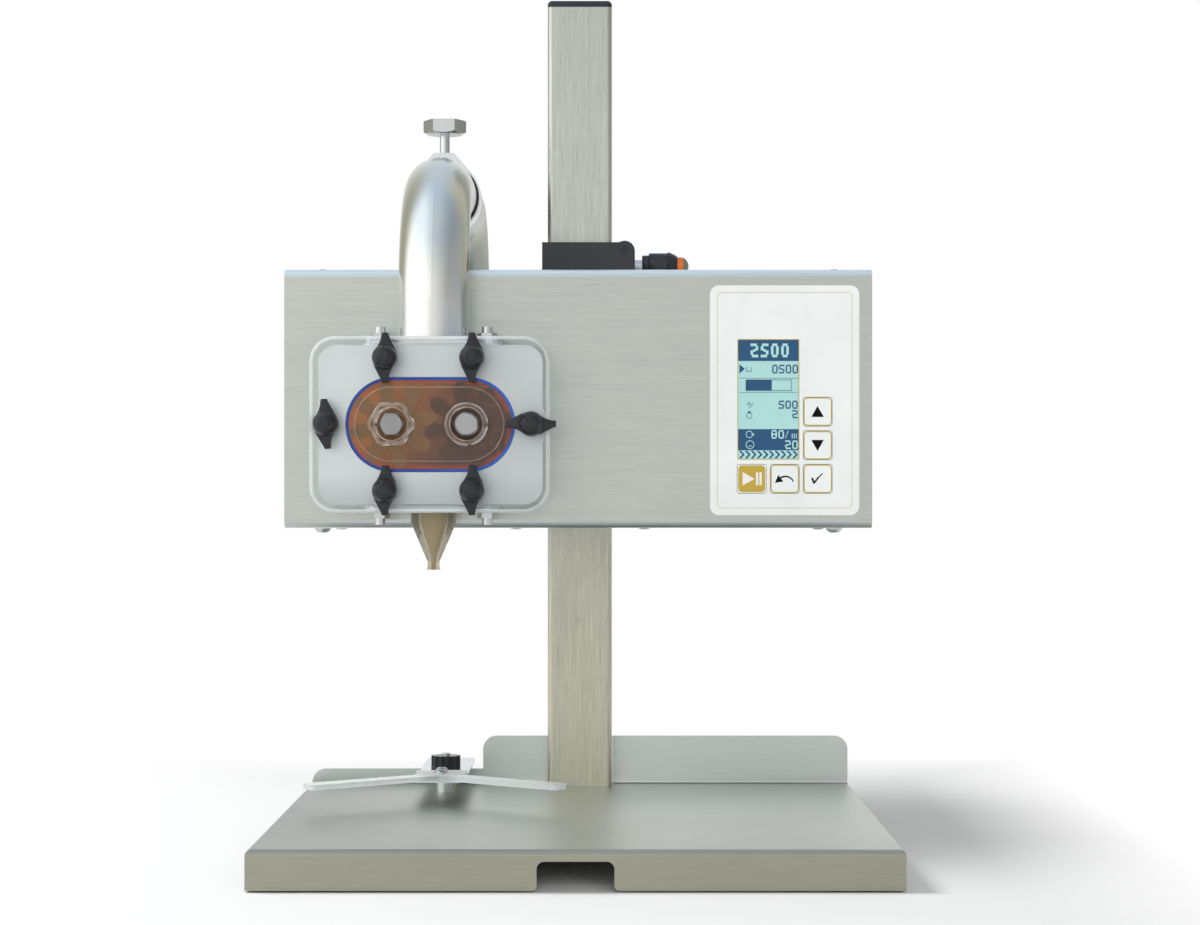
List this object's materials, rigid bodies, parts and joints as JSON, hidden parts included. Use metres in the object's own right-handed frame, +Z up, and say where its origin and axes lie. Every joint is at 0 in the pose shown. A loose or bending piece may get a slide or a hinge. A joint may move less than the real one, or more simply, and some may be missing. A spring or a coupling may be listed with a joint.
{
  "type": "honey filling machine",
  "caption": "Bench-top honey filling machine: a sliding head with a twin-rotor pump, clear pump cover, curved inlet pipe and control panel, on a column over a base.",
  "frame": {"origin": "on the bench, under the middle of the machine's bounding box", "axes": "+Z up along the column, +Y to the rear, +X to the right as seen from the front; the pump and panel face -Y"},
  "size_m": [0.34, 0.404, 0.512],
  "materials": {
    "housing_steel": "satin, brushed along the sheet",
    "base_steel": "satin, brushed along the sheet",
    "column_steel": "satin, brushed along the tube",
    "tube_steel": "fine satin with a soft sheen",
    "pump_steel": "matt, bead-blasted",
    "fastener_steel": "bright, machined",
    "black_metal": "black, satin",
    "black_plastic": "black, moulded, glossy",
    "clear_plastic": "clear, polished",
    "nozzle_plastic": "smoky, see-through",
    "rotor_plastic": "natural, machined",
    "seal_blue": "smooth",
    "seal_black": "smooth",
    "gasket_white": "smooth",
    "foot_rubber": "matt",
    "panel_white": "white film with thin gold lines",
    "key_white": "white, gold outline",
    "key_gold": "gold, white sign",
    "display_glass": "light blue display, smooth",
    "board_green": "circuit board",
    "supply_metal": "folded sheet case",
    "gearbox_metal": "plain, machined",
    "motor_black": "black, satin",
    "guide_plastic": "black, machined",
    "brass": "turned",
    "button_orange": "orange with a grey tip",
    "rocker_red": "red, moulded"
  },
  "bodies": {
    "stand": {"base_plate": "base_steel", "column": "column_steel", "column_cap": "black_plastic", "stud_nuts": "fastener_steel", "rubber_feet": "foot_rubber", "stop_pillars": "fastener_steel"},
    "jar_stop": {"jar_stop_plate": "clear_plastic", "jar_stop_strip": "tube_steel", "jar_stop_screws": "fastener_steel"},
    "thumb_nut": {"thumb_nut": "black_plastic"},
    "head": {"housing_shell": "housing_steel", "left_side_panel": "housing_steel", "right_side_panel": "housing_steel", "rear_cover": "housing_steel", "housing_screws": "fastener_steel", "column_guide": "guide_plastic", "clamp_collar": "black_metal", "clamp_pad": "brass", "collar_screw": "black_metal", "pump_body": "pump_steel", "pump_bolts": "fastener_steel", "pump_studs": "fastener_steel", "pump_cover": "clear_plastic", "cover_seal": "seal_blue", "idler_pin": "fastener_steel", "shaft_seal": "seal_black", "port_gaskets": "gasket_white", "port_nuts": "fastener_steel", "inlet_pipe": "tube_steel", "pipe_o_ring": "seal_black", "nozzle": "nozzle_plastic", "motor_plate": "housing_steel", "gearbox": "gearbox_metal", "motor": "motor_black", "control_panel": "panel_white", "display_module": "display_glass", "control_board": "board_green", "power_supply": "supply_metal", "power_inlet": "black_plastic"},
    "drive": {"drive_rotor": "rotor_plastic", "drive_shaft": "fastener_steel"},
    "idler": {"idler_rotor": "rotor_plastic"},
    "inlet_swivel": {"swivel_collar": "tube_steel", "inlet_elbow": "tube_steel"},
    "lock_screw": {"lock_screw": "fastener_steel"},
    "clamp_lever": {"clamp_lever": "black_metal", "clamp_stud": "fastener_steel"},
    "lever_button": {"lever_button": "button_orange"},
    "power_rocker": {"power_rocker": "rocker_red"},
    "knob_upper_left": {"knob_upper_left": "black_plastic"},
    "knob_upper_right": {"knob_upper_right": "black_plastic"},
    "knob_lower_left": {"knob_lower_left": "black_plastic"},
    "knob_lower_right": {"knob_lower_right": "black_plastic"},
    "knob_side_left": {"knob_side_left": "black_plastic"},
    "knob_side_right": {"knob_side_right": "black_plastic"},
    "key_up": {"key_up": "key_white"},
    "key_down": {"key_down": "key_white"},
    "key_start": {"key_start": "key_gold"},
    "key_back": {"key_back": "key_white"},
    "key_confirm": {"key_confirm": "key_white"}
  },
  "joints": [
    {"name": "stop_slide", "type": "slide", "parent": "stand", "child": "jar_stop", "axis": [0, 1, 0], "range_m": [-0.025, 0.025]},
    {"name": "thumb_nut_turn", "type": "hinge", "parent": "stand", "child": "thumb_nut", "pos_m": [-0.082, 0.05496, 0.04], "axis": [0, 0, 1], "continuous": true},
    {"name": "head_slide", "type": "slide", "parent": "stand", "child": "head", "axis": [0, 0, 1], "range_m": [-0.12, 0.14]},
    {"name": "drive_spin", "type": "hinge", "parent": "head", "child": "drive", "pos_m": [-0.1028, -0.061, 0.2433], "axis": [0, 1, 0], "continuous": true},
    {"name": "idler_spin", "type": "hinge", "parent": "head", "child": "idler", "pos_m": [-0.0612, -0.061, 0.2433], "axis": [0, 1, 0], "continuous": true},
    {"name": "knob_upper_left_turn", "type": "hinge", "parent": "head", "child": "knob_upper_left", "pos_m": [-0.106, -0.105, 0.2799], "axis": [0, 1, 0], "continuous": true},
    {"name": "knob_upper_right_turn", "type": "hinge", "parent": "head", "child": "knob_upper_right", "pos_m": [-0.058, -0.105, 0.2799], "axis": [0, 1, 0], "continuous": true},
    {"name": "knob_lower_left_turn", "type": "hinge", "parent": "head", "child": "knob_lower_left", "pos_m": [-0.106, -0.105, 0.2067], "axis": [0, 1, 0], "continuous": true},
    {"name": "knob_lower_right_turn", "type": "hinge", "parent": "head", "child": "knob_lower_right", "pos_m": [-0.058, -0.105, 0.2067], "axis": [0, 1, 0], "continuous": true},
    {"name": "knob_side_left_turn", "type": "hinge", "parent": "head", "child": "knob_side_left", "pos_m": [-0.1386, -0.105, 0.2433], "axis": [0, 1, 0], "continuous": true},
    {"name": "knob_side_right_turn", "type": "hinge", "parent": "head", "child": "knob_side_right", "pos_m": [-0.0254, -0.105, 0.2433], "axis": [0, 1, 0], "continuous": true},
    {"name": "inlet_turn", "type": "hinge", "parent": "head", "child": "inlet_swivel", "pos_m": [-0.082, 0.045, 0.3842], "axis": [0, 1, 0], "range_deg": [-90, 90]},
    {"name": "lock_screw_turn", "type": "hinge", "parent": "inlet_swivel", "child": "lock_screw", "pos_m": [-0.082, 0.0446, 0.42], "axis": [0, 0, 1], "continuous": true},
    {"name": "lever_turn", "type": "hinge", "parent": "head", "child": "clamp_lever", "pos_m": [0.045, 0.1, 0.348], "axis": [1, 0, 0], "range_deg": [0, 170]},
    {"name": "lever_button_press", "type": "slide", "parent": "clamp_lever", "child": "lever_button", "axis": [-1, 0, 0], "range_m": [0, 0.002], "stiffness_N_per_m": 800, "springref_m": -0.001},
    {"name": "key_up_press", "type": "slide", "parent": "head", "child": "key_up", "axis": [0, 1, 0], "range_m": [0, 0.0005], "stiffness_N_per_m": 1000, "springref_m": -0.0005},
    {"name": "key_down_press", "type": "slide", "parent": "head", "child": "key_down", "axis": [0, 1, 0], "range_m": [0, 0.0005], "stiffness_N_per_m": 1000, "springref_m": -0.0005},
    {"name": "key_start_press", "type": "slide", "parent": "head", "child": "key_start", "axis": [0, 1, 0], "range_m": [0, 0.0005], "stiffness_N_per_m": 1000, "springref_m": -0.0005},
    {"name": "key_back_press", "type": "slide", "parent": "head", "child": "key_back", "axis": [0, 1, 0], "range_m": [0, 0.0005], "stiffness_N_per_m": 1000, "springref_m": -0.0005},
    {"name": "key_confirm_press", "type": "slide", "parent": "head", "child": "key_confirm", "axis": [0, 1, 0], "range_m": [0, 0.0005], "stiffness_N_per_m": 1000, "springref_m": -0.0005},
    {"name": "power_rocker_tilt", "type": "hinge", "parent": "head", "child": "power_rocker", "pos_m": [0.112, 0.144, 0.2408], "axis": [1, 0, 0], "range_deg": [-16, 0]}
  ],
  "couplings": [
    {"joint": "idler_spin", "follows": "drive_spin", "ratio": -1}
  ]
}
